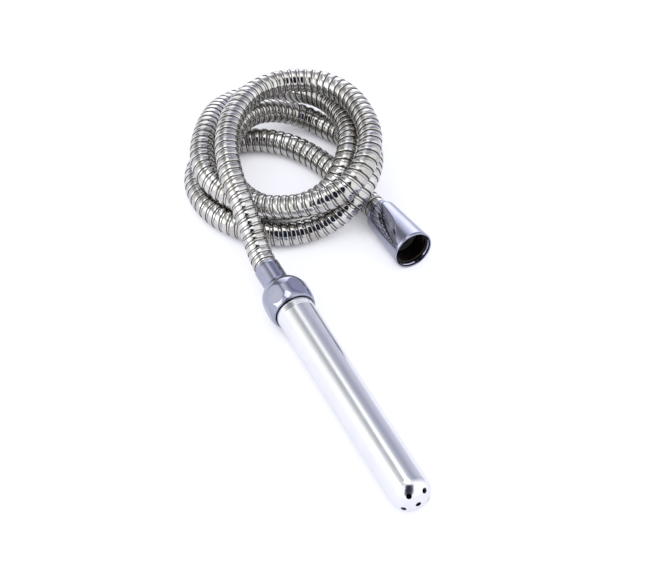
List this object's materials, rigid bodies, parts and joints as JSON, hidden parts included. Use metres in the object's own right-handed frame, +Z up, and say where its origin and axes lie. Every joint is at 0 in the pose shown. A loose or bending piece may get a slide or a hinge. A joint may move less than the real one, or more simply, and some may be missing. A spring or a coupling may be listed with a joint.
{
  "type": "handheld bath sprayer",
  "caption": "Slim round spray wand with a perforated rounded nose on a coiled stripwound metal hose, with a hex nut at the wand and a conical supply nut.",
  "frame": {"origin": "on the wand's axis, at the wand's rear shoulder where it meets the hex nut", "axes": "-Y along the wand towards its nose, +Z up from the table it lies on, +X to the side where the conical nut lies"},
  "size_m": [0.1144, 0.329, 0.0484],
  "materials": {
    "aluminium": "satin turned",
    "chrome": "bright chrome plate",
    "stainless": "rolled stainless strip",
    "brass": "turned",
    "sleeve": "crimped",
    "seal": "matt",
    "nylon": "moulded",
    "liner": "soft extruded"
  },
  "bodies": {
    "coil": {"conduit_coil": "stainless", "liner_coil": "liner", "supply_end_insert": "brass", "supply_end_crimp_sleeve": "sleeve", "supply_end_ferrule": "chrome", "supply_washer": "seal"},
    "lead_upper": {"conduit_lead_upper": "stainless", "liner_lead_upper": "liner"},
    "lead_middle": {"conduit_lead_middle": "stainless", "liner_lead_middle": "liner"},
    "lead_lower": {"conduit_lead_lower": "stainless", "liner_lead_lower": "liner"},
    "wand_end": {"conduit_at_wand": "stainless", "liner_at_wand": "liner", "wand_end_insert": "brass", "wand_end_crimp_sleeve": "sleeve", "wand_end_ferrule": "chrome", "wand_end_thrust_ring": "nylon"},
    "hex_nut": {"hex_nut": "chrome"},
    "wand_washer": {"wand_washer": "seal"},
    "wand": {"wand_body": "aluminium"},
    "cone_bush": {"supply_end_thrust_ring": "nylon"},
    "cone_nut": {"cone_nut": "chrome"}
  },
  "joints": [
    {"name": "lead_lift_far", "type": "hinge", "parent": "coil", "child": "lead_upper", "pos_m": [0.00403, 0.09318, 0.02235], "axis": [-0.9837, 0.1799, 0], "range_deg": [0, 15]},
    {"name": "lead_lift_near", "type": "hinge", "parent": "lead_upper", "child": "lead_middle", "pos_m": [0.00249, 0.07806, 0.01742], "axis": [-0.9989, 0.0477, 0], "range_deg": [0, 15]},
    {"name": "lead_swing_far", "type": "hinge", "parent": "lead_middle", "child": "lead_lower", "pos_m": [0.00178, 0.06367, 0.01049], "axis": [-0.0357, -0.4834, 0.8747], "range_deg": [-12, 12]},
    {"name": "lead_swing_near", "type": "hinge", "parent": "lead_lower", "child": "wand_end", "pos_m": [0.00059, 0.04954, 0.0031], "axis": [-0.0301, -0.3884, 0.921], "range_deg": [-12, 12]},
    {"name": "hex_nut_swivel", "type": "hinge", "parent": "wand_end", "child": "hex_nut", "pos_m": [0, 0.013, 0], "axis": [0, -1, 0], "continuous": true},
    {"name": "wand_turn", "type": "hinge", "parent": "hex_nut", "child": "wand_washer", "pos_m": [0, 0.009, 0], "axis": [0, -1, 0], "range_deg": [0, 1628]},
    {"name": "wand_back_off", "type": "slide", "parent": "wand_washer", "child": "wand", "axis": [0, -1, 0], "range_m": [0, 0.0082]},
    {"name": "cone_nut_slide", "type": "slide", "parent": "coil", "child": "cone_bush", "axis": [-0.0696, 0.9956, -0.0628], "range_m": [0, 0.002]},
    {"name": "cone_nut_swivel", "type": "hinge", "parent": "cone_bush", "child": "cone_nut", "pos_m": [0.07952, 0.02894, -0.0027], "axis": [0.0696, -0.9956, 0.0628], "continuous": true}
  ],
  "couplings": [
    {"joint": "lead_lift_near", "follows": "lead_lift_far", "ratio": 1},
    {"joint": "lead_swing_near", "follows": "lead_swing_far", "ratio": 1},
    {"joint": "wand_turn", "follows": "wand_back_off", "rad_per_m": 3463.7}
  ]
}
